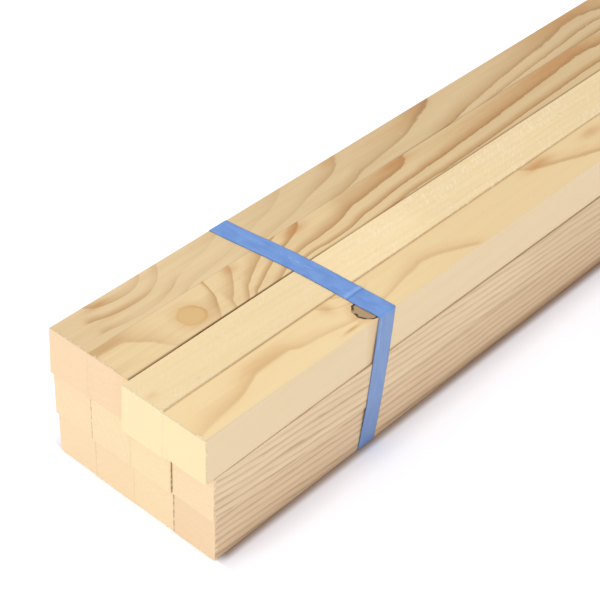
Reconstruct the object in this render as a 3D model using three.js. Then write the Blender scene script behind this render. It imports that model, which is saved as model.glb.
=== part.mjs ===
// Bundle of planed pine studs: twelve square studs, four wide and three high, held by a plastic
// strap near each end. Millimetres, +Z up, the studs lie along X.
import * as THREE from 'three';

// The studs.
const studSide = 38; // planed square section
const studLength = 2400;
const arrisRadius = 0.5; // the long edges are eased
const studGap = 0.3; // between two faces that the straps pull together

// How loosely the studs lie.
const endStagger = 4.3; // the most that a sawn end stands out of line
const endLean = 2.4; // the most that the foot of a sawn end stands out past its head
const sideSlack = 1; // the most that a whole stud stands proud of the bundle's side
const sideSpread = 1.3; // the most that a free end, beyond the straps, stands off sideways
const endLift = 0.7; // the most that a free end of the top layer lifts

// The straps.
const strapWidth = 17.5;
const strapThickness = 0.6;
const strapSeat = 0.1; // between the strap and the wood it is pulled against
const strapInset = 162; // from the middle line of the sawn ends to the middle of the strap

// The welded lap, on the strap's run up the bundle's +Y side.
const lapBottom = 34; // free end of the outer layer, above the floor
const outerTail = 8; // from there up to the weld
const weldLength = 24;
const innerTail = 9; // free end of the inner layer, beyond the weld
const lapSlit = 0.25; // between the two layers outside the weld
const rampLength = 5; // over which the outer layer comes back to the wood

const cornerSteps = 4; // round a square corner
const spreadSteps = 5; // along the stretch of a stud between its end and the strap

// Each layer from the floor up, and its studs from the +Y side to the -Y side. shift moves a stud
// along X, as a share of endStagger, aside moves it along Y, as a share of sideSlack, and lean is a
// share of endLean. near and far say where its two free ends go, sideways as a share of sideSpread
// and up as a share of endLift.
const layers = [
  {
    name: 'bottom',
    studs: [
      { shift: 1, lean: 0.15, near: [0.6, 0], far: [0.2, 0] },
      { shift: 0.93, lean: 0.35, near: [0.5, 0], far: [0, 0] },
      { shift: 0.98, lean: 0.25, near: [-0.2, 0], far: [0, 0] },
      { shift: 0.91, lean: 0.4, near: [-0.4, 0], far: [-0.7, 0] },
    ],
  },
  {
    name: 'middle',
    studs: [
      { shift: 0.53, lean: 0.35, near: [0, 0], far: [0.6, 0] },
      { shift: 0.34, lean: 0.4, near: [-0.3, 0], far: [0, 0] },
      { shift: 0.4, lean: 0.4, near: [-0.35, 0], far: [-0.2, 0] },
      { shift: 0.63, lean: 0.35, aside: -1, near: [-0.1, 0], far: [0.1, 0] },
    ],
  },
  {
    name: 'top',
    studs: [
      { shift: 0.34, lean: 0.9, near: [0.3, 0], far: [0.7, 0.3] },
      { shift: 0.47, lean: 0.6, near: [0.2, 0], far: [0.4, 0] },
      { shift: -1, lean: 1, near: [-0.7, 0], far: [0, 0] },
      { shift: -0.94, lean: 0.1, near: [-1, 0.6], far: [-0.3, 0.5] },
    ],
  },
];

// How each strap leans off square, as a rise of X for each millimetre of Y and of Z.
const straps = [
  { name: 'strap_near_end', side: -1, acrossSlope: -0.067, upSlope: 0.144 },
  { name: 'strap_far_end', side: 1, acrossSlope: 0.031, upSlope: -0.048 },
];

const pitch = studSide + studGap;
const studsWide = Math.max(...layers.map(({ studs }) => studs.length));
const bundleWidth = studsWide * pitch - studGap;
const bundleHeight = layers.length * pitch - studGap;
const woodBottom = strapThickness + strapSeat;

// Every stud, with its name and the place of its middle line.
const allStuds = layers.flatMap((layer, level) =>
  layer.studs.map((stud, column) => ({
    ...stud,
    name: `stud_${layer.name}_${column + 1}`,
    y: (bundleWidth - studSide) / 2 - column * pitch + (stud.aside ?? 0) * sideSlack,
    z: woodBottom + studSide / 2 + level * pitch,
  })),
);

const pine = new THREE.MeshStandardMaterial({ color: 0xe6c797, roughness: 0.62, metalness: 0 });
const bluePlastic = new THREE.MeshStandardMaterial({ color: 0x6c9ade, roughness: 0.38, metalness: 0 });

// A section is drawn with its x along Y and its y along Z, and is extruded along X.
const sectionAxes = new THREE.Matrix4().makeBasis(
  new THREE.Vector3(0, 1, 0),
  new THREE.Vector3(0, 0, 1),
  new THREE.Vector3(1, 0, 0),
);

/** Extrudes a section along X from 0 to length, then lets place move each of its points. */
function extrudeAlongX(section, length, steps, place) {
  const geometry = new THREE.ExtrudeGeometry(section, {
    depth: length,
    steps,
    bevelEnabled: false,
  });
  geometry.applyMatrix4(sectionAxes);
  const points = geometry.attributes.position;
  const point = new THREE.Vector3();
  for (let i = 0; i < points.count; i += 1) {
    place(point.fromBufferAttribute(points, i));
    points.setXYZ(i, point.x, point.y, point.z);
  }
  geometry.computeVertexNormals();
  return geometry;
}

/** The corners of a band pulled tight round some points, anticlockwise from the +x side's top. */
function tightBand(points) {
  const sorted = [...points].sort((a, b) => a.x - b.x || a.y - b.y);
  const halfBand = (inOrder) => {
    const corners = [];
    inOrder.forEach((point) => {
      while (corners.length > 1) {
        const side = corners.at(-1).clone().sub(corners.at(-2));
        const next = point.clone().sub(corners.at(-1));
        if (side.cross(next) > 0) break;
        corners.pop();
      }
      corners.push(point);
    });
    return corners.slice(0, -1);
  };
  const lower = halfBand(sorted);
  const upper = halfBand(sorted.reverse());
  return [...upper, ...lower];
}

/** The outline round the corners of a band, with an arc of this radius round each. */
function roundBand(corners, radius) {
  const fullTurn = 2 * Math.PI;
  const outwards = corners.map((corner, i) => {
    const side = corner.clone().sub(corners.at(i - 1));
    return Math.atan2(-side.x, side.y);
  });
  return corners.flatMap((corner, i) => {
    const turn = (outwards[(i + 1) % corners.length] - outwards[i] + fullTurn) % fullTurn;
    const steps = Math.round((turn / (fullTurn / 4)) * cornerSteps);
    return Array.from({ length: steps + 1 }, (_, step) => {
      const angle = outwards[i] + turn * (steps ? step / steps : 0.5);
      const outward = new THREE.Vector2(Math.cos(angle), Math.sin(angle));
      return corner.clone().addScaledVector(outward, radius);
    });
  });
}

const toPoints = (pairs) => pairs.map(([x, y]) => new THREE.Vector2(x, y));

/** Where the arrises of a stud are centred, in its section. */
function arrisCentres(y, z) {
  const reach = studSide / 2 - arrisRadius;
  return toPoints([
    [y + reach, z + reach],
    [y - reach, z + reach],
    [y - reach, z - reach],
    [y + reach, z - reach],
  ]);
}

const studSection = new THREE.Shape(roundBand(arrisCentres(0, 0), arrisRadius));

/** How far along X a strap reaches from the middle of its loop, half its width and its lean. */
function strapReach({ acrossSlope, upSlope }) {
  const lean = Math.abs(acrossSlope) * bundleWidth + Math.abs(upSlope) * bundleHeight;
  return (strapWidth + lean) / 2;
}

/** A stud in its place. Beyond each strap it curves away to its free end, which the saw left leaning. */
function makeStud({ name, shift, lean, near, far, y, z }) {
  const steps = 2 * spreadSteps + 1;
  const [nearFree, farFree] = straps.map(
    (strap) => strapInset - strapReach(strap) + strap.side * shift * endStagger,
  );
  const geometry = extrudeAlongX(studSection, studLength, steps, (point) => {
    const station = Math.round((point.x / studLength) * steps);
    const atNear = station <= spreadSteps;
    const bend = 1 - (atNear ? station : steps - station) / spreadSteps;
    const [sideways, up] = atNear ? near : far;
    const footOut = station % steps ? 0 : (-point.z / studSide) * lean * endLean;
    point.x = atNear
      ? nearFree * (1 - bend) - studLength / 2 - footOut
      : studLength / 2 - farFree * (1 - bend) + footOut;
    point.y += sideways * sideSpread * bend ** 2;
    point.z += up * endLift * bend ** 2;
  });
  const stud = new THREE.Mesh(geometry, pine);
  stud.name = name;
  stud.position.set(shift * endStagger, y, z);
  return stud;
}

/** The strap's outline: a strip round the bundle whose ends lap and are welded on the +Y side. */
function strapSection() {
  const corners = tightBand(allStuds.flatMap(({ y, z }) => arrisCentres(y, z)));
  const innerRadius = arrisRadius + strapSeat;
  const inner = corners[0].x + innerRadius;
  const outer = inner + strapThickness;
  const lapInner = outer + lapSlit;
  const lapOuter = lapInner + strapThickness;
  const weldBottom = lapBottom + outerTail;
  const weldTop = weldBottom + weldLength;
  const tailTop = weldTop + innerTail;

  const outline = new THREE.Shape([
    ...toPoints([
      [outer, weldBottom],
      [lapInner, weldBottom],
      [lapInner, lapBottom],
      [lapOuter, lapBottom],
      [lapOuter, tailTop],
      [outer, tailTop + rampLength],
    ]),
    ...roundBand(corners, innerRadius + strapThickness),
  ]);
  const hole = new THREE.Path([
    ...toPoints([
      [inner, tailTop],
      [outer, tailTop],
      [outer, weldTop],
      [lapInner, weldTop],
      [lapInner, tailTop],
      [inner, tailTop + rampLength],
    ]),
    ...roundBand(corners, innerRadius),
  ]);
  outline.holes.push(hole);
  return outline;
}

/** A strap in its place round the bundle, leaning off square as a hand leaves it. */
function makeStrap({ name, side, acrossSlope, upSlope }) {
  const midHeight = woodBottom + bundleHeight / 2;
  const geometry = extrudeAlongX(strapSection(), strapWidth, 1, (point) => {
    point.x += acrossSlope * point.y + upSlope * (point.z - midHeight) - strapWidth / 2;
  });
  const strap = new THREE.Mesh(geometry, bluePlastic);
  strap.name = name;
  strap.position.x = side * (studLength / 2 - strapInset);
  return strap;
}

const bundle = new THREE.Group();
allStuds.forEach((stud) => bundle.add(makeStud(stud)));
straps.forEach((strap) => bundle.add(makeStrap(strap)));

// The origin is on the floor, under the middle of the whole bundle.
const extent = new THREE.Box3().setFromObject(bundle);
const centre = extent.getCenter(new THREE.Vector3());
bundle.position.set(-centre.x, -centre.y, -extent.min.z);

export default bundle;
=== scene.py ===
# %% [markdown]
# # A bundle of planed pine studs
# Twelve square studs lie four wide and three high, and a blue plastic strap near each end holds
# them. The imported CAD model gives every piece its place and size. This lesson gives each piece its
# surface: planed wood with growth rings that run through the solid, sawn ends, loose fibres, and
# straps that are embossed, creased and welded.
#
# Everything is in metres, with +Z up and the studs along X. Sizes that belong to the wood's grain
# are in millimetres, because that is how a sawyer would give them.

import random
from dataclasses import dataclass
from math import cos, pi, radians, sin

import bpy
import numpy as np
from mathutils import Euler, Matrix, Vector, geometry


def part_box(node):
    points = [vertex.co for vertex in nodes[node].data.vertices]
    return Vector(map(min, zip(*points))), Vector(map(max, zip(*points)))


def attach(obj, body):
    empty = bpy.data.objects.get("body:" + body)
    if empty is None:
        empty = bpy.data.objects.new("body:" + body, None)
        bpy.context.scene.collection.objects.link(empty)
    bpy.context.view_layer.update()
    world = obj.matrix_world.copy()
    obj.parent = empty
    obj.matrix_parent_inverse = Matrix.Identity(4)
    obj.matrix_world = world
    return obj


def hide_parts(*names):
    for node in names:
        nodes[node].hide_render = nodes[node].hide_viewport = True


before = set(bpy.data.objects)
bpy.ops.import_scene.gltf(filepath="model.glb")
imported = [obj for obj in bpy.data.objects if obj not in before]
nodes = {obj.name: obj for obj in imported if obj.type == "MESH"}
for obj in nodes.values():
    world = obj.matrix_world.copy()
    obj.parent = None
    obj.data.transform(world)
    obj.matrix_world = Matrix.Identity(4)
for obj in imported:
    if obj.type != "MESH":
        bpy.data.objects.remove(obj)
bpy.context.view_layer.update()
mm = 0.001
stud_names = sorted(name for name in nodes if name.startswith("stud_"))
strap_names = sorted(name for name in nodes if name.startswith("strap_"))

# %% [markdown]
# ## The camera
# A long lens from a little over a metre and a half away keeps the studs nearly parallel. The view
# looks down at the sawn ends and along the stack. Heading and dip turn the camera, and a small
# roll comes last, about its own line of sight.

# %% Place the camera
def add_object(name, data, matrix=Matrix()):
    """An object that shows this data, in the scene."""
    made = bpy.data.objects.new(name, data)
    made.matrix_world = matrix
    bpy.context.scene.collection.objects.link(made)
    return made


camera_place = (-1.7451, -0.6319, 0.8590)
camera_heading = radians(41.438)  # from +X towards +Y
camera_dip = radians(39.027)  # below the level
camera_roll = radians(1.545)
camera_lens = 102.59  # mm, on a sensor 36 mm wide

camera_data = bpy.data.cameras.new("camera")
camera_data.lens = camera_lens
camera_data.sensor_width = 36
camera_data.clip_end = 50
aim = Euler((pi / 2 - camera_dip, 0, camera_heading - pi / 2)).to_matrix().to_4x4()
aim = Matrix.Translation(camera_place) @ aim @ Matrix.Rotation(camera_roll, 4, "Z")
bpy.context.scene.camera = add_object("camera", camera_data, aim)
print("camera at", camera_place)

# %% [markdown]
# ## Formulas as nodes
# A growth ring is a formula: the distance from the pith, divided by the width of a ring. Written
# node by node, such a formula can't be read. So one small class wraps a socket and adds a Math
# node for each operator, and `sqrt(a * a + b * b)` in the script becomes five nodes in the tree.
# Its method `node` adds any other node: first its settings, then its sockets.

# %% A socket that can be added and multiplied
class Field:
    """A node's output. Arithmetic on it adds Math nodes to its tree."""

    def __init__(self, tree, socket=None):
        self.tree = tree
        self.socket = socket

    def node(self, kind, inputs=None, output=0, **settings):
        made = self.tree.nodes.new(kind)
        for name, value in settings.items():
            if name == "points":
                draw_curve(made, value)
            else:
                setattr(made, name, value)
        for key, value in (inputs or {}).items():
            if isinstance(value, Field):
                self.tree.links.new(value.socket, made.inputs[key])
            else:
                made.inputs[key].default_value = value
        return Field(self.tree, made.outputs[output] if made.outputs else None)

    def output(self, key):
        return Field(self.tree, self.socket.node.outputs[key])

    def math(self, operation, *others):
        return self.node("ShaderNodeMath", dict(enumerate((self, *others))), operation=operation)

    def __add__(self, other):
        return self.math("ADD", other)

    def __sub__(self, other):
        return self.math("SUBTRACT", other)

    def __rsub__(self, other):
        return self.node("ShaderNodeMath", {0: other, 1: self}, operation="SUBTRACT")

    def __mul__(self, other):
        return self.math("MULTIPLY", other)

    def __truediv__(self, other):
        return self.math("DIVIDE", other)

    def __pow__(self, other):
        return self.math("POWER", other)

    def __neg__(self):
        return self * -1.0

    __radd__ = __add__
    __rmul__ = __mul__

    def rise(self, low, high):
        """0 at low, 1 at high, and smooth between them. High may be the smaller number."""
        return self.node(
            "ShaderNodeMapRange",
            {"Value": self, "From Min": low, "From Max": high},
            interpolation_type="SMOOTHSTEP",
        )

    def hill(self, width):
        """1 where the value is 0, fading to 0 at about twice this width to either side."""
        share = self / width
        return (-(share * share)).math("EXPONENT")

    def noise(self, detail=2.0, scale=1.0):
        """Smooth random values about 0.5, for a place."""
        return self.node("ShaderNodeTexNoise", {"Vector": self, "Scale": scale, "Detail": detail})


def draw_curve(made, points):
    """Sets a Float Curve node to run smoothly through these points, without overshooting."""
    curve = made.mapping.curves[0]
    made.mapping.use_clip = False
    for spare in range(len(points) - 2):
        curve.points.new(0.5, 0.5)
    for point, place in zip(curve.points, points):
        point.location = place
        point.handle_type = "AUTO_CLAMPED"
    made.mapping.update()


def combine(x, y, z):
    parts = (x, y, z)
    start = next(part for part in parts if isinstance(part, Field))
    return start.node("ShaderNodeCombineXYZ", dict(enumerate(parts)))


def separate(vector):
    x = vector.node("ShaderNodeSeparateXYZ", {0: vector})
    return x, x.output(1), x.output(2)


def length(x, y):
    return (x * x + y * y).math("SQRT")


def mix(factor, a, b):
    """Blends two colours."""
    return factor.node("ShaderNodeMix", {0: factor, 6: a, 7: b}, output=2, data_type="RGBA")


def srgb(red, green, blue):
    """A colour as it is picked on a screen, from 0 to 255, in the linear form that nodes use."""
    def linear(level):
        share = level / 255
        return share / 12.92 if share <= 0.04045 else ((share + 0.055) / 1.055) ** 2.4
    return (linear(red), linear(green), linear(blue), 1.0)


# %% [markdown]
# ## Trees that grow pieces
# Geometry Nodes suit whatever follows a path or is scattered. A tree takes a simple base mesh and
# named sizes. Its result is turned into a plain mesh at once, so nothing in the file stays live.

# %% Helpers for geometry trees
def new_tree(name, **sizes):
    """An empty tree with a geometry input and output, and an input for each size."""
    tree = bpy.data.node_groups.new(name, "GeometryNodeTree")
    tree.interface.new_socket("Geometry", in_out="INPUT", socket_type="NodeSocketGeometry")
    tree.interface.new_socket("Geometry", in_out="OUTPUT", socket_type="NodeSocketGeometry")
    for label, value in sizes.items():
        kind = "NodeSocketInt" if isinstance(value, int) else "NodeSocketFloat"
        socket = tree.interface.new_socket(label, in_out="INPUT", socket_type=kind)
        socket.default_value = value
    tree.interface.new_socket("finish", in_out="INPUT", socket_type="NodeSocketMaterial")
    return Field(tree).node("NodeGroupInput")


def end_tree(start, made):
    whole = start.node("GeometryNodeRealizeInstances", {0: made})
    painted = start.node("GeometryNodeSetMaterial", {0: whole, "Material": start.output("finish")})
    start.node("NodeGroupOutput", {0: painted})
    return start.tree


def polyline(name, points):
    mesh = bpy.data.meshes.new(name)
    mesh.from_pydata(points, [(i, i + 1) for i in range(len(points) - 1)], [])
    return mesh


def grow(name, tree, base, **values):
    """Runs a tree on a base mesh and keeps the result as a plain mesh object."""
    holder = add_object(name + "_base", base)
    modifier = holder.modifiers.new("grow", "NODES")
    modifier.node_group = tree
    for socket in tree.interface.items_tree:
        if socket.in_out == "INPUT" and socket.name in values:
            modifier[socket.identifier] = values[socket.name]
    depsgraph = bpy.context.evaluated_depsgraph_get()
    mesh = bpy.data.meshes.new_from_object(holder.evaluated_get(depsgraph), depsgraph=depsgraph)
    mesh.name = name
    bpy.data.objects.remove(holder)
    bpy.data.meshes.remove(base)
    return add_object(name, mesh)


def count_triangles(piece):
    piece.data.calc_loop_triangles()
    return len(piece.data.loop_triangles)


# %% [markdown]
# ## The shape of a planed stud
# A stud is sawn from a log, planed on four sides and cut to length. Its section is 38 mm square,
# and its long edges, the arrises, are eased by the planer and then knocked about. Its two ends
# are as the saw left them, and lean a little. Beyond the straps it curves to where its free end
# lies.
#
# A bevelled box could do this, but all its edges would be the same. Here a gridded box is bent
# along the stud's middle line, and each point finds its own place in the section, so that the
# radius of an arris can change along the stud and the sawn ends can be rough.

# %% Read each stud's middle line and length from the frame
def corners_of(name):
    return np.array([vertex.co for vertex in nodes[name].data.vertices])


def stations_of(name):
    """The corners of a stud's CAD mesh, in one group for each station along it."""
    corners = corners_of(name)
    corners = corners[corners[:, 0].argsort()]
    gaps = np.flatnonzero(np.diff(corners[:, 0]) > 5 * mm) + 1
    return np.split(corners, gaps)


def middle_line(name):
    """The middle of the section at each station."""
    return [tuple((group.min(axis=0) + group.max(axis=0)) / 2) for group in stations_of(name)]


cad_side = 38 * mm


def end_leans(name):
    """How far the foot of each sawn end stands out past its head, at the near and the far end."""
    groups = stations_of(name)
    near_slope, far_slope = (
        np.polyfit(group[:, 2], group[:, 0], 1)[0] for group in (groups[0], groups[-1])
    )
    return float(near_slope * cad_side), float(-far_slope * cad_side)


first_line = middle_line(stud_names[0])
stud_length = first_line[-1][0] - first_line[0][0]
print("a stud is", round(stud_length, 4), "m long and has", len(first_line), "stations")
print("its feet stand out", [round(lean / mm, 2) for lean in end_leans(stud_names[0])], "mm")

# %% The tree that shapes a stud
flat_cells = 36  # across a face
arris_cells = 3  # from the edge of a face to the middle of an arris
across_cells = flat_cells + 2 * arris_cells
along_cells = 110
end_crowding = 0.88  # 0 spaces the stations evenly, towards 1 crowds them at the ends


def spread(place, half, zone):
    """Moves a grid coordinate from -1..1 to -half..half, with small cells in the arris zone."""
    flat_share = flat_cells / across_cells
    size = place.math("ABSOLUTE")
    inside = size.math("MINIMUM", flat_share) * ((half - zone) / flat_share)
    outside = (size - flat_share).math("MAXIMUM", 0.0) * (zone / (1 - flat_share))
    return (inside + outside) * place.math("SIGN")


def stud_tree():
    start = new_tree("stud", side=cad_side, arris=0.2 * mm, wear=0.3 * mm, slack=0.1 * mm,
                     near_lean=0.0, far_lean=0.0, left_burr=0.0, left_step=0.0, left_tilt=0.0,
                     right_burr=0.0, right_step=0.0, right_tilt=0.0, lip_most=1.5 * mm,
                     saw_depth=0.3 * mm, seed=0)
    side, arris, wear = (start.output(label) for label in ("side", "arris", "wear"))
    seed = start.output("seed") * 17.0
    line = start.node("GeometryNodeMeshToCurve", {0: start})
    box = start.node("GeometryNodeMeshCube", {
        "Size": (2.0, 2.0, 2.0),
        "Vertices X": along_cells + 1,
        "Vertices Y": across_cells + 1,
        "Vertices Z": across_cells + 1,
    })
    x, y, z = separate(start.node("GeometryNodeInputPosition"))
    share = (x + 1) * 0.5
    share = share - (share * (2 * pi)).math("SINE") * (end_crowding / (2 * pi))
    half = side * 0.5
    zone = arris + wear

    # The planed faces run in and out by a tenth of a millimetre.
    def ripple(offset):
        return combine(share * 26.0, seed, offset).noise()
    across = spread(y, half, zone) - y.math("SIGN") * start.output("slack") * ripple(3.0)
    up = spread(z, half, zone) - z.math("SIGN") * start.output("slack") * ripple(8.0)
    half = half - start.output("slack") * 0.5

    # Each arris has its own radius, which changes along the stud.
    uneven = combine(share * 90.0, y.math("SIGN") * 5.0 + seed, z.math("SIGN") * 5.0).noise(4.0)
    on_left = y.math("GREATER_THAN", 0.0)
    burred = start.output("left_burr") * on_left + start.output("right_burr") * (1 - on_left)
    unworn = burred.math("GREATER_THAN", 0.0) * share.rise(0.01, 0.0) * 0.9
    radius = (arris + wear * uneven.rise(0.45, 0.8)) * (1 - unworn)
    core = half - radius
    core_across = across.math("MINIMUM", core).math("MAXIMUM", -core)
    core_up = up.math("MINIMUM", core).math("MAXIMUM", -core)
    over_across = across - core_across
    over_up = up - core_up
    reach = over_across.math("ABSOLUTE").math("MAXIMUM", over_up.math("ABSOLUTE"))
    distance = length(over_across, over_up) + 1e-7
    across = core_across + over_across * (reach / distance)
    up = core_up + over_up * (reach / distance)

    # At the near end the saw dragged fibres over some seams: a burr that thins out along the stud
    # closes the gap, and a lip along the rim reaches forward to the next stud's end.
    lip, burr = 0.0, 0.0
    for label, way in (("left", 1.0), ("right", -1.0)):
        outward = across * way
        at_rim = outward.rise(0.75 * cad_side / 2, 0.99 * cad_side / 2)
        step = start.output(label + "_step") + start.output(label + "_tilt") * up / side
        lip = at_rim * step.math("MAXIMUM", 0.0).math("MINIMUM", start.output("lip_most")) + lip
        burr = outward.math("MAXIMUM", 0.0) / half * start.output(label + "_burr") * way + burr
    at_near = x.math("LESS_THAN", -0.999)
    across = across + burr * share.rise(0.03, 0.0)

    # The ends lean, and the saw leaves them a little rough.
    lean = share.rise(0.012, 0.0) * start.output("near_lean")
    lean = (lean - share.rise(0.988, 1.0) * start.output("far_lean")) * up / side
    lean = lean - lip * at_near
    torn = combine(across * 90.0 + up * 500.0, up * 60.0 + seed, x * 4.0).noise(3.0)
    at_end = x.math("ABSOLUTE").math("GREATER_THAN", 0.999)
    inward = at_end * x.math("SIGN") * torn * start.output("saw_depth")
    middle = start.node("GeometryNodeSampleCurve", {"Curves": line, "Factor": share}, "Position")
    offset = combine(lean - inward, across, up)
    place = start.node("ShaderNodeVectorMath", {0: middle, 1: offset}, operation="ADD")
    shaped = start.node("GeometryNodeSetPosition", {0: box, "Position": place})

    # Smooth all over, but for the edges round the two ends.
    smooth = start.node("GeometryNodeSetShadeSmooth", {0: shaped})
    angle = start.node("GeometryNodeInputMeshEdgeAngle")
    marked = start.node("GeometryNodeStoreNamedAttribute", {
        "Geometry": smooth,
        "Name": "sharp_edge",
        "Value": angle.math("GREATER_THAN", radians(50)),
    }, data_type="BOOLEAN", domain="EDGE")
    return end_tree(start, marked)


stud_shape = stud_tree()
print("stud tree:", len(stud_shape.nodes), "nodes")


# %% [markdown]
# ## The shape of a strap
# The strapping is a strip of polypropylene 17.5 mm wide and 0.6 mm thick. A tool pulls it tight
# round the bundle, laps its two ends and welds them. So its path is the band that would be drawn
# round the studs by a string: it bridges whatever lies back from the outermost edges. Where it
# was handled it keeps a crease, and it never lies quite flat.
#
# The path comes from the studs' own sections. A gridded box is then bent along it, as for the
# studs, with the long direction of the box along the path.

# %% Work out a strap's path from the studs and its lean from the CAD strap
strap_thickness = 0.6 * mm
path_step = 1.25 * mm
path_half_width = 77 * mm  # where the path turns down each side
path_height = 116 * mm  # and where it runs over the top
lap_bottom = 34 * mm  # the free end of the outer layer
weld_bottom = 42 * mm
weld_top = 66 * mm
lap_top = 75 * mm  # the free end of the inner layer
lap_ramp = 5 * mm
lap_slit = 0.25 * mm


def strap_plane(name):
    """Where the middle of a strap is, as x = a + b y + c z, and its width along X."""
    corners = corners_of(name)
    terms = np.column_stack([np.ones(len(corners)), corners[:, 1:]])
    plane, *_ = np.linalg.lstsq(terms, corners[:, 0], rcond=None)
    return plane, 2 * np.abs(corners[:, 0] - terms @ plane).mean()


def band_outline(x):
    """The band round the studs where they pass x, pushed out to the middle of the strap."""
    section = []
    for name in stud_names:
        corners = corners_of(name)
        station = corners[np.abs(corners[:, 0] - x).argmin(), 0]
        near = corners[np.abs(corners[:, 0] - station) < 0.1 * mm]
        section += [Vector(point) for point in np.unique(near[:, 1:].round(6), axis=0)]
    band = [section[i] for i in geometry.convex_hull_2d(section)]
    push = min(point.y for point in band) - strap_thickness / 2
    outline = []
    for before, here, after in zip(band[-1:] + band[:-1], band, band[1:] + band[:1]):
        sides = [(here - before).normalized(), (after - here).normalized()]
        outward = sum((Vector((side.y, -side.x)) for side in sides), Vector((0, 0))).normalized()
        outline.append(here + outward * push)
    return outline


def strap_path(x):
    """The strip's path in YZ, from its inner free end round the bundle to its outer free end."""
    outline = band_outline(x)[::-1]
    first = min(range(len(outline)), key=lambda i: (-round(outline[i].x, 5), outline[i].y))
    around = outline[first:] + outline[:first]
    side = max(point.x for point in outline)
    outer = side + strap_thickness
    lap = [(side, lap_top + lap_ramp), (outer + lap_slit, lap_top), (outer + lap_slit, weld_top),
           (outer, weld_top - lap_ramp / 2), (outer, weld_bottom + lap_ramp / 2),
           (outer + lap_slit, weld_bottom), (outer + lap_slit, lap_bottom)]
    turns = [Vector((side, lap_top)), *around, *(Vector(point) for point in lap)]
    path = [turns[0]]
    for start, end in zip(turns, turns[1:]):
        pieces = max(1, round((end - start).length / path_step))
        path += [start.lerp(end, i / pieces) for i in range(1, pieces + 1)]
    return [(0, point.x, point.y) for point in path]


# %% The tree that shapes a strap
strap_cells = 14  # across the width
edge_share = 0.94  # of the half width, out to where the edge starts to round


def strap_tree():
    start = new_tree("strap", width=0.0175, thickness=strap_thickness, place=0.0, lean_across=0.0,
                     lean_up=0.0, bow=1.2 * mm, crease_at=0.0, crease_height=0.4 * mm,
                     crease_width=1.6 * mm, slack=0.35 * mm, seed=0)
    count = start.node("GeometryNodeAttributeDomainSize", {0: start})
    box = start.node("GeometryNodeMeshCube", {
        "Size": (2.0, 2.0, 2.0),
        "Vertices X": count,
        "Vertices Y": strap_cells + 1,
        "Vertices Z": 2,
    })
    x, y, z = separate(start.node("GeometryNodeInputPosition"))
    station = ((x + 1) * 0.5 * (count - 1)).math("ROUND")

    def at_station(step, value, kind):
        return start.node("GeometryNodeSampleIndex", {
            "Geometry": start, "Value": value, "Index": station + step,
        }, data_type=kind, clamp=True)

    here, ahead, behind = (
        separate(at_station(step, start.node("GeometryNodeInputPosition"), "FLOAT_VECTOR"))
        for step in (0.0, 1.0, -1.0)
    )
    ahead_y, ahead_z = ahead[1] - behind[1], ahead[2] - behind[2]
    stride = length(ahead_y, ahead_z) + 1e-9
    out_y, out_z = -ahead_z / stride, ahead_y / stride
    run = at_station(0.0, start.node("GeometryNodeInputNamedAttribute", {"Name": "run"}), "FLOAT")

    # The long edges are rounded, and waver a little.
    past = ((y.math("ABSOLUTE") - edge_share).math("MAXIMUM", 0.0)) / (1 - edge_share)
    thin = (1.01 - past * past).math("SQRT") * 0.7 + 0.3
    seed = start.output("seed") * 31.0
    wobble = combine(run * 60.0, y.math("SIGN") * 4.0, seed).noise()
    half_width = start.output("width") * (0.5 - (wobble - 0.5) * 0.03 * past)
    off = y * half_width

    # Between the corners the strap lifts off the wood here and there.
    _, path_y, path_z = here
    from_side = path_half_width - path_y.math("ABSOLUTE")
    from_level = path_z.math("MINIMUM", path_height - path_z)
    free = (from_side + from_level).rise(2 * mm, 14 * mm) * path_z.rise(2 * mm, 8 * mm)
    lift = combine(run * 38.0, off * 60.0, seed + 9.0).noise(1.0)
    lift = lift.rise(0.45, 0.85) * start.output("slack") * free
    on_top = path_z.rise(path_height - 4 * mm, path_height - 1 * mm)
    fold = (path_y - start.output("crease_at")).hill(start.output("crease_width")) * on_top
    height = z * thin * start.output("thickness") * 0.5 + lift
    height = height + fold * start.output("crease_height")

    # It was pulled tight a little askew, so its run over the top bows along the studs.
    bowed = (path_y * (pi / path_half_width)).math("COSINE")
    bowed = bowed * path_z.rise(20 * mm, path_height - 2 * mm)

    new_y = path_y + out_y * height
    new_z = path_z + out_z * height
    new_x = (start.output("place") + new_y * start.output("lean_across")
             + new_z * start.output("lean_up") + bowed * start.output("bow") - off)

    # The attributes come first: a value that is stored later would see the moved points.
    marked = box
    for label, value in {"run": run / mm, "off": off / mm}.items():
        marked = start.node("GeometryNodeStoreNamedAttribute", {
            "Geometry": marked, "Name": label, "Value": value,
        }, data_type="FLOAT", domain="POINT")
    place = combine(new_x, new_y, new_z)
    shaped = start.node("GeometryNodeSetPosition", {0: marked, "Position": place})
    return end_tree(start, start.node("GeometryNodeSetShadeSmooth", {0: shaped}))


strap_shape = strap_tree()
print("strap tree:", len(strap_shape.nodes), "nodes")


# %% Bend the straps
def strap_base(name, path):
    """The path as a mesh whose points know how far along the strip they are."""
    mesh = polyline(name, path)
    lengths = [0.0]
    for start, end in zip(path, path[1:]):
        lengths.append(lengths[-1] + (Vector(end) - Vector(start)).length)
    mesh.attributes.new("run", "FLOAT", "POINT").data.foreach_set("value", lengths)
    return mesh


def make_strap(name, **looks):
    """Bends a strip round the studs, in the CAD strap's place."""
    plane, width = strap_plane(name)
    sizes = {"width": float(width)}
    for label, value in zip(("place", "lean_across", "lean_up"), plane):
        sizes[label] = float(value)
    low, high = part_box(name)
    path = strap_path((low.x + high.x) / 2)
    piece = grow(name + "_strapping", strap_shape, strap_base(name, path), **sizes, **looks)
    print(piece.name, count_triangles(piece), "triangles along", len(path), "stations")
    return piece


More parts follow.
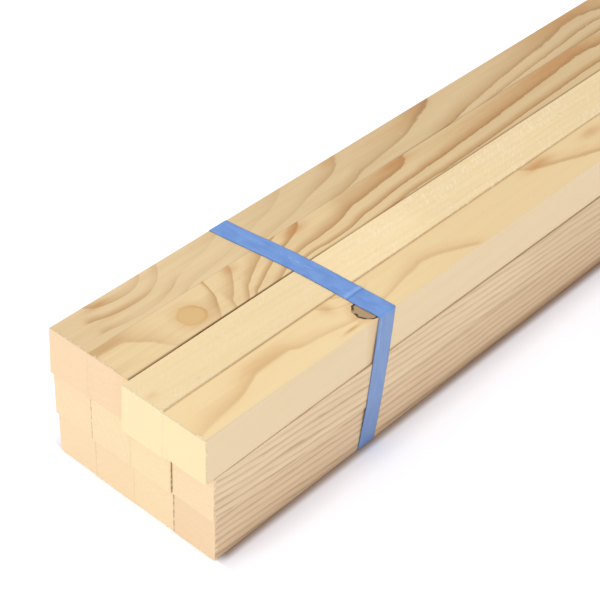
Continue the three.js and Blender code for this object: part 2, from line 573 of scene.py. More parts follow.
# %% [markdown]
# ## Wood as a solid
# The grain on a board is where its faces cut the tree's growth rings. A picture of grain on each
# face would not meet at the edges, so the rings are made in space instead: a ring's number is the
# distance from the pith divided by the width of a ring. The pith wanders along the stud, and where
# it dips towards a face the rings close into the tongues and arches of flat-sawn wood. Each ring
# is pale where it grew in spring, darkens towards its late wood, and stops sharply.
#
# A branch shows as a knot. The rings swell round it even where it isn't cut.

# %% What a sawyer would note about each stud
@dataclass
class Wood:
    """A stud's grain. Lengths are in mm from the stud's near end and from its middle line."""

    seed: int
    ring: float  # from one ring to the next
    pith_across: tuple  # (along, across) points that the pith passes
    pith_up: tuple  # (along, up) points
    radii: tuple = ()  # how far from the pith its first rings end, where their widths differ
    swells: tuple = ()  # (along, across, long radius, wide radius, how far a ring is pulled)
    knots: tuple = ()  # (along, across, radius, lean across, dead)
    stains_and_seam_shade: tuple = ()  # (along, across, long radius, wide radius, strength)
    faint: tuple = ()  # (along, across, long radius, wide radius, how far the rings fade)
    shows: tuple = ((0, 1.0), (2400, 1.0))  # (along, how plainly the rings show)
    late: float = 7.0  # the most of a ring that is late wood, which is darker
    unrest: float = 3.0  # how far the rings wander by themselves
    ragged: float = 1.0  # how rough their edges are
    pale: tuple = (228, 199, 150)
    dark: tuple = (190, 142, 88)
    sawn: tuple = (237, 206, 165)
    scratched: float = 0.0
    blur: float = 0.06  # the share of a ring over which its late wood fades out
    steady: float = 0.7  # how strong the weakest ring is
    side: float = 38.2  # studs that are pulled together all but touch
    arris: float = 0.2  # the least radius of its long edges
    wear: float = 0.3  # what their wear adds to it
    painted_side_shade: tuple = ()  # its right-hand side's pale wood where given, made greyer and darker as painted shade
    painted_seam_shadow: float = 0.0  # how dark its painted seam shadow is, in dashes along its near end's right-hand rim
    # Painted shade, darker along seams and towards the bottom of a board:
    painted_shades: tuple = ()  # (across or up, from here, to here, (along, how dark it gets) points)
    tan: tuple = ()  # (along, how far its pale wood is tanned) points
    patchy: float = 0.0  # how far its rings fade in places


near_board = Wood(
    seed=1, ring=5, unrest=1.0, late=9, pale=(230, 199, 147), dark=(184, 138, 76),
    side=38.28, arris=0.01, wear=0.02,
    painted_shades=(("across", -17, -18.8, ((0, 0), (280, 0), (330, 0.3), (395, 0.3), (420, 0.1),
                                    (450, 0.2), (2400, 0.2))),),
    tan=((0, 0.06), (50, 0.02), (120, 0), (200, 0.12), (400, 0.22), (500, 0.22), (560, 0.32),
         (2400, 0.25)),
    radii=(18.5, 29.5, 41.3, 51.5, 60.7, 70.7, 82, 86.4, 91.8),
    pith_across=((0, 25), (187, 26), (620, 26), (1200, 10), (2400, 30)),
    pith_up=((0, 39), (22, 38), (28, 37), (32, 35.2), (38, 31.6), (45, 28.3), (52, 25), (60, 23.2),
             (70, 26.3), (78, 32.2), (85, 37), (94, 43.8), (100, 47.5), (145, 55.9), (187, 63.8),
             (210, 66.7), (222, 68.6), (235, 70.9), (255, 73.1), (270, 74.8), (280, 76.7),
             (288, 78.9), (300, 79.6), (320, 81), (340, 82.1), (355, 83.6), (370, 85.8),
             (395, 88.1), (404, 89.2), (415, 90.6), (430, 91.9), (450, 93.2), (490, 95.3),
             (550, 97.4), (590, 98.9), (605, 98.8), (625, 97.3), (1200, 80), (2400, 95)),
    faint=((60, -14, 40, 6, 0.85), (80, 14, 18, 5, 0.5), (105, 3, 45, 9, 0.7)),
    stains_and_seam_shade=((388, 17, 16, 5, 0.15), (279, 16, 9, 6, 0.3), (40, 14, 10, 3, 0.5),
            (50, -1, 24, 3, 0.2), (590, 14, 55, 6, 0.4), (345, 10, 40, 6, 0.25)),
    shows=((0, 0.05), (18, 0.1), (28, 0.85), (90, 0.6), (112, 0.2), (220, 0.3), (275, 0.6),
           (300, 0.5), (350, 0.6), (380, 0.9), (400, 1.0), (430, 0.7), (540, 0.9), (620, 1.0),
           (2400, 0.8)),
)
tongue_board = Wood(
    seed=2, ring=7, unrest=0.6, late=9, pale=(236, 205, 149), dark=(180, 123, 54),
    side=38.28, arris=0.01, wear=0.02,
    painted_shades=(("across", -17, -18.8, ((0, 0.7), (50, 0.8), (75, 1.0), (150, 0.9), (190, 0.6),
                                    (240, 0.4), (300, 0.5), (2400, 0.3))),),
    tan=((0, 0), (150, 0.03), (300, 0.22), (350, 0.25), (430, 0.34), (2400, 0.3)),
    faint=((10, -16, 26, 7, 1.2),),
    radii=(25.5, 34, 43.5, 50.6, 55.6, 62.9, 68.2, 73.8), ragged=0.8,
    pith_across=((0, 18), (70, 18), (88, 21), (94, 22.3), (98, 23), (101, 24.2), (104, 25),
                 (108, 25), (111, 23.7), (115, 24), (119, 25.3), (123, 26.4), (127, 27.3),
                 (131, 26), (134, 24), (141, 24.3), (147, 25), (153, 26), (159, 27.5), (171, 31),
                 (181, 33.5), (190, 31), (208, 24), (250, 22), (300, 26), (320, 23.5), (335, 20),
                 (600, 20), (1400, 15), (2400, 30)),
    pith_up=((0, 52.3), (23, 52.3), (40, 50), (46, 49.7), (56, 47.7), (70, 46.5), (88, 45.3),
             (101, 45.1), (104, 47.1), (106, 50.4), (108, 52.7), (111, 53.9), (115, 54.7),
             (119, 55.4), (123, 56.6), (127, 58.3), (131, 60.4), (134, 62.6), (141, 64.1),
             (147, 65.3), (153, 65.9), (159, 66.6), (171, 66.8), (181, 67.2), (190, 70),
             (208, 74.6), (225, 76.1), (250, 78.8), (300, 78.9), (320, 80.5), (328, 82),
             (350, 82.6), (400, 83.5), (450, 84.6), (500, 85.4), (550, 86.1), (570, 85.5),
             (600, 84.6), (1400, 64), (2400, 84)),
    swells=((69, -24, 46, 20, 18),),
    knots=((76.5, -3, 11, 0.05, 0.0),),
    stains_and_seam_shade=((131, 15, 7, 5, 0.4), (14, 15, 14, 4, 0.3), (312, 16, 18, 4, 0.7),
            (515, 15, 45, 6, 0.6), (420, 10, 60, 7, 0.25), (196, 14, 12, 5, 0.6)),
    shows=((0, 0.5), (40, 0.35), (50, 0.2), (88, 0.3), (100, 0.7), (150, 0.75), (200, 0.9),
           (600, 1.0), (2400, 0.8)),
)
plain_board = Wood(
    seed=3, ring=5, scratched=1.0, pale=(249, 220, 164), dark=(214, 178, 120),
    tan=((0, 0.09), (150, 0.11), (200, 0), (250, 0), (310, 0.12), (400, 0.12), (500, 0.17),
         (2400, 0.16)),
    sawn=(241, 220, 171),
    painted_shades=(("across", -17, -18.8, ((0, 0.3), (150, 0.35), (300, 0.3), (2400, 0.3))),),
    pith_across=((0, -60), (2400, -80)), pith_up=((0, 50), (2400, 70)),
    # Its last stain browns its right-hand edge along the seam to the next board, a painted shade.
    shows=((0, 0.05), (2400, 0.15)), stains_and_seam_shade=((8, -3, 5, 3, 0.25), (200, -19.2, 300, 1.2, 0.4)),
)
knotty_board = Wood(
    seed=4, ring=60, radii=(45, 105, 165), late=20, unrest=2.5, ragged=3.0,
    pale=(244, 213, 155), dark=(224, 178, 116), arris=0.12, wear=0.2, sawn=(241, 220, 171),
    tan=((0, 0), (120, 0.02), (400, 0.17), (2400, 0.17)),
    painted_side_shade=(228, 203, 160),
    faint=((290, -21, 300, 3.5, 1.4), (372, 14, 8, 9, 1.2), (200, 14, 14, 12, 1.0)),
    pith_across=((0, 86), (10, 88.5), (18, 90.2), (34, 92), (45, 94), (52, 96.3), (57, 98.2),
                 (63, 100.5), (70, 103.2), (80, 103.7), (100, 104), (108, 100.4), (116, 99),
                 (149, 98.8), (186, 100.4), (216, 99.9), (228, 100.4), (238, 102), (246, 100.8),
                 (256, 97.4), (270, 91.4), (283, 84.4), (300, 74), (330, 68), (365, 66),
                 (376, 62), (383, 54), (390, 51), (400, 47), (410, 43), (420, 38.9),
                 (430, 35.4), (440, 32), (460, 27), (900, 60), (2400, 90)),
    pith_up=((0, 0), (2400, 10)),
    shows=((0, 0.4), (30, 0.5), (60, 0.75), (110, 0.7), (120, 0.55), (180, 0.6), (285, 0.7),
           (380, 0.9), (400, 1.0), (2400, 0.8)),
    swells=((172, 20, 27, 19, 100),),
    knots=((170.4, -7.4, 10.3, 0.0, 1.0),),
    # Its last stain browns its left-hand edge along the same seam, a painted shade.
    stains_and_seam_shade=((80, 8, 26, 7, 0.25), (30, -4, 24, 6, 0.15), (396, 13, 15, 5, 0.65),
            (148, -14, 8, 1.3, 0.7), (462, 9, 13, 5, 0.5), (151, 14, 5, 7, 0.4),
            (200, 19.2, 300, 1.2, 0.4)),
)
right_middle = Wood(
    seed=5, ring=6, unrest=6.0, blur=0.27, steady=0.5, patchy=0.5, pale=(227, 199, 157),
    dark=(156, 118, 72), sawn=(240, 212, 168), arris=0.1, wear=0.15,
    painted_shades=(("up", 18, 18.8, ((0, 0), (150, 0.1), (250, 0.25), (400, 0.4), (2400, 0.4))),
            ("up", -12, -17, ((0, 0), (180, 0.05), (220, 0.16), (300, 0.18), (370, 0),
                              (2400, 0.1)))),
    tan=((0, 0), (260, 0.02), (320, 0.06), (380, 0.2), (2400, 0.2)),
    pith_across=((0, 0), (2400, 10)),
    pith_up=((0, -70), (200, -88), (500, -104), (1200, -118), (2400, -100)),
)
right_bottom = Wood(
    seed=6, ring=6, unrest=5.0, blur=0.27, steady=0.6, patchy=0.45, pale=(220, 189, 149),
    dark=(150, 114, 72), sawn=(236, 205, 163), arris=0.1, wear=0.15,
    painted_shades=(("up", -7, -18, ((0, 0.15), (150, 0.26), (220, 0.34), (300, 0.48), (2400, 0.58))),),
    tan=((0, 0), (250, 0), (300, 0.05), (380, 0.1), (2400, 0.1)),
    pith_across=((0, 5), (2400, -5)), pith_up=((0, -80), (500, -100), (2400, -90)),
)


def unseen_board(seed):
    """A stud that shows little: its pith, rings and one knot are drawn at random."""
    draw = random.Random(seed)
    away, turn = draw.uniform(25, 75), draw.uniform(0, 2 * pi)
    places = range(0, 2401, 400)
    wander = [(along, draw.uniform(-12, 12), draw.uniform(-12, 12)) for along in places]
    shade = draw.uniform(-5, 5)
    return Wood(
        seed=seed, ring=draw.uniform(4.5, 8), shows=((0, 0.75), (2400, 0.75)),
        pith_across=tuple((along, away * cos(turn) + a) for along, a, _ in wander),
        pith_up=tuple((along, away * sin(turn) + u) for along, _, u in wander),
        knots=((draw.uniform(300, 2100), draw.uniform(-12, 12), draw.uniform(5, 10), 0.2, 0.0),),
        pale=(226 + shade, 199 + shade, 157 + shade), sawn=(239, 212 + shade / 2, 168),
    )


woods = {name: unseen_board(seed) for seed, name in enumerate(stud_names, start=20)}
# Three studs show a painted seam shadow at their near ends.
woods["stud_middle_1"].painted_seam_shadow = 1.0
woods["stud_bottom_1"].painted_seam_shadow = 0.6
woods["stud_bottom_3"].painted_seam_shadow = 0.6
woods.update({
    "stud_top_1": near_board, "stud_top_2": tongue_board, "stud_top_3": plain_board,
    "stud_top_4": knotty_board, "stud_middle_4": right_middle, "stud_bottom_4": right_bottom,
})
print({name: round(wood.ring, 1) for name, wood in woods.items()})

# %% A stud's own coordinates
pith_limit = 160  # mm, further than any pith lies from its stud's middle
near_stretch = 300  # mm from the near end that get half of the steps of a drawn curve


def in_mm(start):
    """Where a point of the object is, in mm."""
    place = start.node("ShaderNodeTexCoord", output="Object")
    place = start.node("ShaderNodeVectorMath", {0: place, "Scale": 1 / mm}, operation="SCALE")
    return separate(place)


class StudSpace:
    """Where a point of a stud is, in mm: along from its near end, across and up from its middle."""

    def __init__(self, start, name, seed):
        line = middle_line(name)
        near_x, far_x = line[0][0] / mm, line[-1][0] / mm
        _, middle_y, middle_z = line[len(line) // 2]
        near_lean, far_lean = (lean / cad_side for lean in end_leans(name))
        x, y, z = in_mm(start)
        self.start = start
        self.seed = seed
        self.length = far_x - near_x
        self.along = x - near_x
        self.across = y - middle_y / mm
        self.up = z - middle_z / mm
        self.from_near = self.along - self.up * near_lean
        from_far = self.length - self.along - self.up * far_lean
        self.from_end = self.from_near.math("MINIMUM", from_far)

    def noise(self, along_size, across_size, offset=0.0, detail=2.0):
        """Smooth random values about 0.5, in patches of this size in mm."""
        return self.turned_noise(self.along, self.across, along_size, across_size, offset, detail)

    def turned_noise(self, along, across, along_size, across_size, offset=0.0, detail=2.0):
        place = combine(along / along_size + self.seed * 3.7, across / across_size + offset,
                        self.up / across_size)
        return place.noise(detail)

    def drawn(self, points, limit=pith_limit):
        """A value from -limit to limit that follows these points along the stud.

        A curve node holds 256 steps, so its input is bent to give the near end most of them."""
        places = [(at / (at + near_stretch), 0.5 + value / (2 * limit)) for at, value in points]
        along = self.along.math("MAXIMUM", 0.0)
        share = self.start.node("ShaderNodeFloatCurve", {"Value": along / (along + near_stretch)},
                                points=places)
        return (share - 0.5) * (2 * limit)

    def patch(self, at, side, long_radius, wide_radius):
        """1 at a place on the stud, fading to 0 around it."""
        return (self.along - at).hill(long_radius) * (self.across - side).hill(wide_radius)


# %% Growth rings
late_from = 0.35  # how far through a ring its late wood begins


def ring_number(space, wood):
    """Which ring a point is in, counted from the pith, with how far through it as a fraction."""
    off_across = space.across - space.drawn(wood.pith_across)
    off_up = space.up - space.drawn(wood.pith_up)
    distance = length(off_across, off_up)
    for *place, pull in wood.swells:
        distance = distance - space.patch(*place) * pull
    distance = distance + (space.noise(55, 13) - 0.5) * wood.unrest
    torn = (space.noise(9, 2.5, 5.0) - 0.5) * 0.6 + (space.noise(2.5, 1.0, 9.0) - 0.5) * 0.4
    distance = distance + torn * (space.along.rise(100, 400) * 0.8 + 0.6) * wood.ragged
    if not wood.radii:
        return distance / wood.ring

    # A curve gives each listed ring its own width, and the same width of late wood.
    count, last = len(wood.radii), wood.radii[-1]
    points = [(0, 0)]
    for i, (start, end) in enumerate(zip((0, *wood.radii), wood.radii)):
        late = min(wood.late, (end - start) * (1 - late_from))
        points += [((end - late) / last, (i + late_from) / count), (end / last, (i + 1) / count)]
    share = space.start.node("ShaderNodeFloatCurve",
                             {"Value": distance.math("MINIMUM", last) / last}, points=points)
    return share * count + (distance - last).math("MAXIMUM", 0.0) / wood.ring


def late_wood_share(number, space, wood):
    """How much of a point is late wood, and how much is the dark line where the ring stops."""
    phase = number.math("FRACT")
    which = number.node("ShaderNodeTexWhiteNoise", {"W": number.math("FLOOR") + wood.seed},
                        noise_dimensions="1D")
    strength = (which * (1 - wood.steady) + wood.steady) * space.drawn(wood.shows, 1.0)
    for *place, fade in wood.faint:
        strength = strength * (1 - space.patch(*place) * fade)
    strength = strength * (1 - space.noise(38, 5, 71.0).rise(0.35, 0.65) * wood.patchy)
    stop = 1 - phase.rise(1 - wood.blur, 1.0)
    late = phase.rise(late_from, 0.95) * stop * strength
    line = phase.rise(0.8, 0.94) * stop * strength
    return late, line


# %% Colours of pine
ring_line = srgb(144, 104, 50)
orange_wood_and_seam_shade = srgb(195, 132, 62)
tanned_wood = srgb(168, 136, 84)
resin = srgb(150, 100, 52)
knot_wood = srgb(219, 176, 110)
dead_knot_wood = srgb(178, 145, 102)
bark = srgb(60, 42, 28)
# The brown of painted shade in seams, towards the bottom of side boards and in the dashes of hidden
# seams.
shaded_groove = srgb(120, 74, 18)
torn_wood = srgb(255, 244, 214)


# %% Knots and scratches
def with_knots(space, wood, colour):
    """Lays the knots over a stud's colour, and says how deep their edges are."""
    dip = None
    for at, side, size, lean, dead in wood.knots:
        out_along = space.along - at
        out_across = space.across - side - space.up * lean
        wobble = (space.noise(9, 9, 21.0, 1.0) - 0.5) * (0.4 - 0.2 * dead)
        reach = length(out_along, out_across) / size + wobble
        inside = 1 - reach.rise(0.88, 1.08)
        rings = (reach * 26.0 + space.noise(3, 3, 4.0) * 3.0).math("SINE") * 0.5 + 0.5
        heart = mix(rings * 0.03, dead_knot_wood if dead else knot_wood, orange_wood_and_seam_shade)
        colour = mix(inside * (0.85 + 0.15 * dead), colour, heart)
        halo = reach.rise(1.8, 1.0) * reach.rise(0.7, 1.0)
        far_side = reach.rise(0.6, 1.0) * (out_along / size).rise(-0.2, 1.0)
        colour = mix((halo + far_side * inside * 1.6) * (0.2 + 0.1 * dead), colour, orange_wood_and_seam_shade)
        if dead:
            broken = (space.noise(4, 4, 33.0, 2.0) - 0.5) * 0.35
            rim = (reach + broken).rise(0.84, 0.92) * (reach + broken).rise(1.06, 1.0)
            rim = rim * space.noise(6, 6, 37.0, 1.0).rise(0.25, 0.5)
            colour = mix(rim * 0.95, colour, bark)
            dip = rim
    return colour, dip


def scratches(space):
    """Fine lines at 45 degrees, both ways, in patches."""
    lines = None
    for sign, offset in ((1.0, 31.0), (-1.0, 47.0)):
        down = space.along + space.across * sign
        over = space.along - space.across * sign
        found = space.turned_noise(down, over, 22, 0.9, offset, 1.0).rise(0.58, 0.7)
        lines = found if lines is None else lines.math("MAXIMUM", found * 0.7)
    return lines * space.noise(60, 16, 13.0).rise(0.42, 0.62)


# %% The finish of one stud
side_face = 19.0  # mm from a stud's middle
planer_mark = 2.7  # mm from one to the next
rim_tear = 2.3  # mm, the most that fibres are torn back from a sawn end


def principled(start, **sockets):
    """A Principled surface on the output. Numbers and colours go straight onto its sockets."""
    names = {name.replace("_", " ").title().replace("Ior", "IOR"): value
             for name, value in sockets.items()}
    surface = start.node("ShaderNodeBsdfPrincipled", names)
    start.node("ShaderNodeOutputMaterial", {"Surface": surface})


def new_material(name):
    material = bpy.data.materials.new(name)
    material.use_nodes = True
    material.node_tree.nodes.clear()
    return material, Field(material.node_tree)


def bump(height):
    """A normal for a height in mm."""
    return height.node("ShaderNodeBump", {"Height": height, "Strength": 1.0, "Distance": mm})


def pine(name, wood):
    material, start = new_material("pine_" + name)
    space = StudSpace(start, name, wood.seed)
    late, line = late_wood_share(ring_number(space, wood), space, wood)
    torn_rim = space.turned_noise(space.along, space.across, 200, 2.6, 81.0).rise(0.47, 0.67)
    at_end = (space.from_end - torn_rim * rim_tear).rise(0.9, 0.5)
    pale, dark = srgb(*wood.pale), srgb(*wood.dark)
    if wood.tan:
        pale = mix(space.drawn(wood.tan, 1.0), pale, tanned_wood)
    # Its right-hand side face is greyer and darker: painted shade.
    if wood.painted_side_shade:
        on_side = space.across.rise(0.03 - side_face, -0.03 - side_face)
        pale = mix(on_side, pale, srgb(*wood.painted_side_shade))

    # Spring wood with faint streaks, then the late wood, the line of the ring and the stains, two of
    # which brown a seam as painted shade.
    streak = space.noise(160, 5, 2.0).rise(0.35, 0.75)
    colour = mix(streak * 0.12, pale, dark)
    colour = mix(late * 0.85, colour, dark)
    colour = mix(line * (0.2 + 0.25 * space.along.rise(150, 400)), colour, ring_line)
    for *place, strength in wood.stains_and_seam_shade:
        ragged = space.noise(12, 2, 41.0) * 0.8 + 0.6
        colour = mix(space.patch(*place) * ragged * strength, colour, orange_wood_and_seam_shade)
    fibre = space.noise(30, 0.5, 11.0, 3.0)
    colour = mix(fibre.rise(0.5, 0.8) * 0.14, colour, dark)
    duct = space.noise(4, 0.4, 17.0, 1.0).rise(0.72, 0.8) * (late + 0.15)
    colour = mix(duct * 0.5, colour, resin)
    colour, knot_rim = with_knots(space, wood, colour)

    # The saw leaves the ends pale, with torn fibres and a few lines across.
    saw = space.turned_noise(space.along, space.across + space.up * 0.2, 40, 0.9, 3.0)
    colour = mix(at_end * 0.93, colour, srgb(*wood.sawn))
    colour = mix(at_end * saw.rise(0.5, 0.8) * 0.12, colour, dark)
    # A painted seam shadow: broken dark dashes along the near end's right-hand rim.
    if wood.painted_seam_shadow:
        rim = space.across.rise(1.1 - side_face, 0.4 - side_face) * space.from_near.rise(1.4, 0.5)
        broken = space.noise(9, 3, 61.0).rise(0.35, 0.6)
        colour = mix(rim * broken * wood.painted_seam_shadow, colour, shaded_groove)
    # Painted shade: darker along seams and towards the bottom, as each board lists it.
    for axis, clear, deep, points in wood.painted_shades:
        shade = getattr(space, axis).rise(clear, deep) * space.drawn(points, 1.0)
        colour = mix(shade * (1 - at_end), colour, shaded_groove)

    height = fibre * 0.03 + late * 0.04 + space.noise(120, 6, 29.0) * 0.12
    height = height + (space.along * (2 * pi / planer_mark)).math("SINE") * 0.0016
    height = height + at_end * (saw * 0.25 + space.noise(1.5, 1.5, 8.0) * 0.2)
    if knot_rim:
        height = height - knot_rim * 0.3
    if wood.scratched:
        fuzz = space.turned_noise(space.along + space.across, space.along - space.across,
                                  8, 2.2, 51.0).rise(0.5, 0.7)
        thick = space.noise(45, 16, 53.0).rise(0.4, 0.6) * space.along.rise(120, 320)
        colour = mix(fuzz * (0.06 + 0.28 * thick) * wood.scratched, colour, torn_wood)
        marks = scratches(space)
        colour = mix(marks * 0.28 * wood.scratched, colour, torn_wood)
        height = height - marks * 0.06
    roughness = 0.62 - late * 0.12 + at_end * 0.2
    principled(start, base_color=colour, roughness=roughness, normal=bump(height), ior=1.4)
    return material


# %% [markdown]
# ## Blue strapping
# Polypropylene strapping is rolled between engraved rollers, so its faces carry a fine pattern of
# diamonds between two plain margins. It is semi-gloss. Where it was creased the plastic has turned
# pale. The pattern has to follow the strip round the corners, so the shader reads how far along
# and off the strip's middle a point is, from attributes that the tree left on the mesh.

# %% The finish of a strap
strap_blue = srgb(115, 155, 207)
strap_shade = srgb(92, 130, 190)
# The dark blue of painted shade on a strap: the crease's dark line, its lower side and its edges.
painted_strap_shade = srgb(44, 78, 140)
# A painted sheen that greys the side runs.
painted_strap_sheen = srgb(126, 142, 168)
# The pale blue of stretched plastic, also used for a painted highlight strip.
stress_and_highlight_blue = srgb(158, 190, 234)
diamond_pitch = 2.2  # mm
plain_margin = 8.0  # mm from the strap's middle line
edge_shade_from, edge_shade_to = 8.25, 8.65  # mm from there, the edge darkened as painted shade


def strapping(name, crease_at, scuffs_and_highlights):
    """The crease crosses the strap at this y. Each mark runs across the top as a pale scuff, or up a
    side as a painted highlight strip.
    """
    material, start = new_material("blue_" + name)
    _, y, z = in_mm(start)
    run = start.node("ShaderNodeAttribute", output="Fac", attribute_name="run")
    off = start.node("ShaderNodeAttribute", output="Fac", attribute_name="off")

    def along_strip(run_size, off_size, offset, detail=2.0):
        return combine(run / run_size, off / off_size, offset).noise(detail)

    # Two tones in soft patches, with fine lines along the strip.
    turn = 2 * pi / diamond_pitch
    ridges = ((run * 0.6 + off) * turn).math("SINE") * ((run * 0.6 - off) * turn).math("SINE")
    engraved = ridges.rise(-0.4, 0.5) * off.math("ABSOLUTE").rise(plain_margin, plain_margin - 0.6)
    drawn = along_strip(60.0, 0.7, 3.0)
    patches = along_strip(14.0, 6.0, 1.0).rise(0.3, 0.7)
    colour = mix(patches * 0.6 + 0.1, strap_blue, strap_shade)
    colour = mix(drawn.rise(0.55, 0.8) * 0.25, colour, stress_and_highlight_blue)
    on_top = z.rise(path_height / mm - 4, path_height / mm - 1)
    # The side runs are greyer, a painted sheen of the white surround.
    colour = mix((1 - on_top) * 0.5, colour, painted_strap_sheen)
    # It darkens towards the bottom, a painted shade.
    colour = mix(z.rise(70, 0) * 0.2, colour, painted_strap_shade)

    # The crease is pale where the plastic was stretched, with a painted shadow, a dark line, where
    # it turns down.
    from_crease = y - crease_at / mm + (along_strip(5.0, 5.0, 6.0) - 0.5) * 1.5
    colour = mix(from_crease.hill(1.5) * on_top * 0.45, colour, stress_and_highlight_blue)
    colour = mix((from_crease + 2.6).hill(0.8) * on_top * 0.4, colour, painted_strap_shade)

    # Pale scuffs over the top and a painted highlight strip up a side, then the thin edges.
    for up_side, first, last, out in scuffs_and_highlights:
        along, face = (z, 1 - on_top) if up_side else (y, on_top)
        inside = along.rise(first - 2, first + 2) * along.rise(last + 2, last - 2) * face
        from_line = off - out + (along_strip(9.0, 9.0, 8.0) - 0.5) * 0.8
        mark = from_line.hill(0.6) * inside * along_strip(4.0, 3.0, 2.0).rise(0.3, 0.6)
        colour = mix(mark * 0.5, colour, stress_and_highlight_blue)
    # The edges are darkened all along in patches, a painted shade.
    edge = off.math("ABSOLUTE").rise(edge_shade_from, edge_shade_to)
    uneven = along_strip(12.0, 3.0, 7.0).rise(0.4, 0.6)
    colour = mix(edge * (0.2 + 0.4 * uneven), colour, painted_strap_shade)

    height = engraved * 0.03 + drawn * 0.01 + along_strip(16.0, 12.0, 5.0) * 0.2
    roughness = 0.4 + engraved * 0.08 + drawn * 0.1
    principled(start, base_color=colour, roughness=roughness, normal=bump(height), ior=1.49)
    return material


# %% [markdown]
# ## Loose fibres
# A planer tears a few fibres out of softwood, and they stay on it as short pale slivers. Most lie
# at about 45 degrees, as the cutters threw them. They are scattered over the top faces, thick in
# some patches and thin in others.

# %% The tree that scatters fibres
def fibre_tree():
    start = new_tree("fibres", density=2000.0, patch_size=35.0, thickness=0.3 * mm,
                     shortest=1.5 * mm, longest=4 * mm, seed=0)
    patches = start.node("GeometryNodeInputPosition").noise(1.0, start.output("patch_size"))
    scattered = start.node("GeometryNodeDistributePointsOnFaces", {
        "Mesh": start,
        "Density": start.output("density") * patches.rise(0.4, 0.7),
        "Seed": start.output("seed"),
    })
    sliver = start.node("GeometryNodeCurveQuadraticBezier", {
        "Resolution": 4, "Start": (-0.5, 0, 0), "Middle": (0, 0.2, 0.08), "End": (0.5, 0, 0.02)})
    profile = start.node("GeometryNodeCurvePrimitiveCircle", {"Resolution": 3, "Radius": 0.5})
    solid = start.node("GeometryNodeCurveToMesh", {"Curve": sliver, "Profile Curve": profile,
                                                   "Scale": 0.1, "Fill Caps": True})

    def draw(low, high, offset):
        return start.node("FunctionNodeRandomValue", {
            2: low, 3: high, "Seed": start.output("seed") + offset}, output=1, data_type="FLOAT")

    size = draw(start.output("shortest"), start.output("longest"), 1.0)
    side = (draw(0.0, 1.0, 2.0) - 0.35).math("SIGN")
    turn = side * (pi / 4) + draw(-0.35, 0.35, 3.0)
    placed = start.node("GeometryNodeInstanceOnPoints", {
        "Points": scattered, "Instance": solid,
        "Rotation": combine(draw(0.0, 2 * pi, 4.0) * 0.1, 0.0, turn),
        "Scale": combine(size, start.output("thickness") * 10.0, start.output("thickness") * 10.0),
    })
    return end_tree(start, placed)


fibre_shape = fibre_tree()
fibre_margin = 2 * mm  # from the arrises


def fibre_bed(name):
    """The top face of a stud between its ends and the straps, as quads between its stations."""
    reach = cad_side / 2 - fibre_margin
    top = woods[name].side * mm / 2
    line = middle_line(name)
    strapped = [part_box(strap) for strap in strap_names]
    strapped = [(low.x - fibre_margin, high.x + fibre_margin) for low, high in strapped]
    stops = sorted([x for x, _, _ in line] + [x for pair in strapped for x in pair])
    points, faces = [], []
    for x in stops:
        y, z = (float(np.interp(x, *np.array(line).T[[0, axis]])) for axis in (1, 2))
        points += [(x, y - reach, z + top), (x, y + reach, z + top)]
    for i, (x, after) in enumerate(zip(stops, stops[1:])):
        if not any(low <= (x + after) / 2 <= high for low, high in strapped):
            faces.append((2 * i, 2 * i + 2, 2 * i + 3, 2 * i + 1))
    mesh = bpy.data.meshes.new(name + "_bed")
    mesh.from_pydata(points, [], faces)
    return mesh


def loose_fibre():
    material, start = new_material("loose_fibre")
    tone = start.node("ShaderNodeTexCoord", output="Object").noise(1.0, 400.0)
    colour = mix(tone.rise(0.4, 0.6), torn_wood, srgb(250, 230, 190))
    principled(start, base_color=colour, roughness=0.7)
    return material


# %% [markdown]
# ## Put the pieces together
# Every stud is grown along its CAD twin's middle line and takes that node's place. It is smooth
# all over but for the rims of its ends.

# %% Make the studs and straps
def keep(piece, node):
    """The piece stands for this CAD node, and moves with the bundle."""
    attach(piece, "root")
    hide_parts(node)


seams_left_open = {  # at the near end, in mm
    ("stud_top_1", "stud_top_2"): 0.01, ("stud_top_2", "stud_top_3"): 0.5,
    ("stud_top_3", "stud_top_4"): 0.01, ("stud_middle_2", "stud_middle_3"): 0.03,
    ("stud_bottom_1", "stud_bottom_2"): 0.03, ("stud_bottom_2", "stud_bottom_3"): 0.03,
}


def seam_sizes(name):
    """The burr and lip on each side where the seam to the next stud is closed at the near end."""
    sizes = {}
    for pair, left_open in seams_left_open.items():
        if name not in pair:
            continue
        label, other = ("left", pair[0]) if name == pair[1] else ("right", pair[1])
        mine, theirs = middle_line(name)[0], middle_line(other)[0]
        gap = abs(mine[1] - theirs[1]) - (woods[name].side + woods[other].side) * mm / 2
        sizes[label + "_burr"] = max(0.0, (gap - left_open * mm) / 2)
        if left_open < 0.1:
            sizes[label + "_step"] = mine[0] - theirs[0]
            sizes[label + "_tilt"] = end_leans(name)[0] - end_leans(other)[0]
    return sizes


triangles = 0
for name in stud_names:
    wood = woods[name]
    base = polyline(name + "_line", middle_line(name))
    near_lean, far_lean = end_leans(name)
    piece = grow(name + "_planed", stud_shape, base, seed=wood.seed, side=wood.side * mm,
                 arris=wood.arris * mm, wear=wood.wear * mm, near_lean=near_lean,
                 far_lean=far_lean, finish=pine(name, wood), **seam_sizes(name))
    keep(piece, name)
    triangles += count_triangles(piece)

creases = {"strap_near_end": -45.7 * mm, "strap_far_end": 21 * mm}
# Pale scuffs, and up the near strap's side a painted highlight strip.
scuffs_and_highlights = {"strap_near_end": [(False, -8, 15, -1.0), (True, 86, 112, 5.5)],
          "strap_far_end": [(False, 30, 62, 2.0)]}
for seed, name in enumerate(strap_names, start=1):
    blue = strapping(name, creases[name], scuffs_and_highlights[name])
    piece = make_strap(name, crease_at=creases[name], seed=seed, finish=blue)
    keep(piece, name)
    triangles += count_triangles(piece)

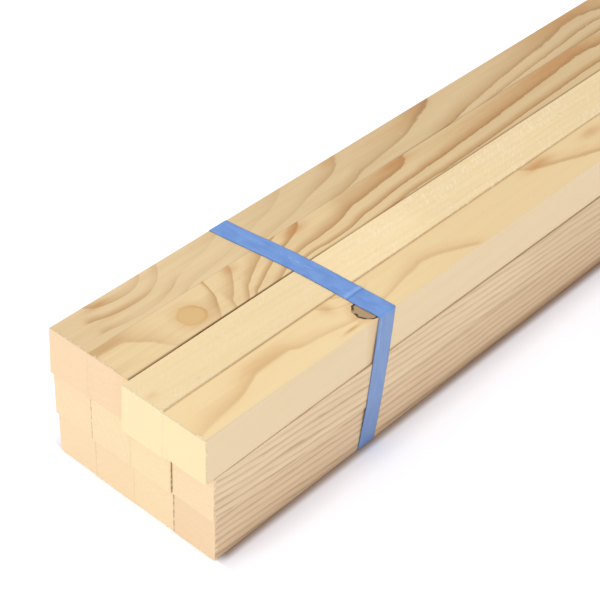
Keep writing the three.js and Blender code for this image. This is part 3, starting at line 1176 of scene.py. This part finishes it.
fibre_colour = loose_fibre()
densities = {"stud_top_1": 1600, "stud_top_2": 1200, "stud_top_3": 4000, "stud_top_4": 900}
for seed, (name, density) in enumerate(densities.items(), start=1):
    piece = grow(name + "_fibres", fibre_shape, fibre_bed(name), density=float(density), seed=seed,
                 finish=fibre_colour)
    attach(piece, "root")
    triangles += count_triangles(piece)
    print(piece.name, count_triangles(piece), "triangles")
print(triangles, "triangles in all")

# %% [markdown]
# ## Floor and light
# A white floor and a white surround, with one large soft light from the side of the sawn ends.
# It makes the ends brightest and the long side darkest, and leaves a faint shadow along the side.
# The floor gives off a little light of its own, a painted light, but for a strip along the bundle,
# so that the strip shows as a painted soft shadow. Right along the side the floor's colour is
# darkened as well, a painted contact shadow.

# %% Set the stage
# Nearer the bundle than this the floor's glow fades out, a painted soft shadow.
glow_to = 28 * mm  # away from the lowest studs
# Within this of the side the floor is darkened, a painted contact shadow.
contact_shade = 7 * mm
floor_glow = 0.22  # how strongly the floor gives off light, a painted light
foot = np.concatenate([corners_of(name) for name in stud_names if "bottom" in name])
foot_low, foot_high = foot.min(axis=0), foot.max(axis=0)


def material_of_floor():
    material, start = new_material("floor_white")
    place = start.node("ShaderNodeTexCoord", output="Object")
    x, y, _ = separate(place)
    colour = mix(place.noise(3.0, 40.0), srgb(247, 246, 246), srgb(250, 250, 251))
    past_end = (float(foot_low[0]) - x).math("MAXIMUM", x - float(foot_high[0]))
    past_side = (y.math("ABSOLUTE") - float(foot_high[1])).math("MAXIMUM", 0.0)
    away = length((past_end + 3 * mm).math("MAXIMUM", 0.0) * 12.0, past_side)
    # The glow is a painted light; it fades out towards the bundle, a painted soft shadow.
    glow = mix(away.rise(0.0, glow_to), (0, 0, 0, 1), (1, 0.985, 0.97, 1))
    # A painted contact shadow darkens the floor right along the side.
    shade = past_side.rise(contact_shade, 0.0) * past_end.rise(1 * mm, -12 * mm)
    colour = mix(shade, colour, srgb(171, 149, 130))
    principled(start, base_color=colour, roughness=0.8, emission_color=glow,
               emission_strength=floor_glow)
    return material


floor_reach = 30
corners = [(-floor_reach, -floor_reach, 0), (floor_reach, -floor_reach, 0),
           (floor_reach, floor_reach, 0), (-floor_reach, floor_reach, 0)]
floor_mesh = bpy.data.meshes.new("floor")
floor_mesh.from_pydata(corners, [], [(0, 1, 2, 3)])
floor = add_object("floor", floor_mesh)
floor.data.materials.append(material_of_floor())

world = bpy.data.worlds.new("surround")
bpy.context.scene.world = world
world.use_nodes = True
surround = world.node_tree.nodes["Background"]
surround.inputs["Color"].default_value = (0.96, 1.0, 1.12, 1)
surround.inputs["Strength"].default_value = 1.0


def soft_light(name, place, target, size, power, colour):
    """A round area light of this size in metres, turned towards a target."""
    data = bpy.data.lights.new(name, "AREA")
    data.shape = "DISK"
    data.size = size
    data.energy = power
    data.color = colour
    aim = (Vector(target) - Vector(place)).to_track_quat("-Z", "Y").to_matrix().to_4x4()
    add_object(name, data, Matrix.Translation(place) @ aim)


near_end = (-1.0, 0, 0.06)
soft_light("key", place=(-3.2, 1.1, 1.5), target=near_end, size=1.6, power=10.5,
           colour=(1, 0.93, 0.76))
bpy.context.scene.view_settings.view_transform = "Standard"
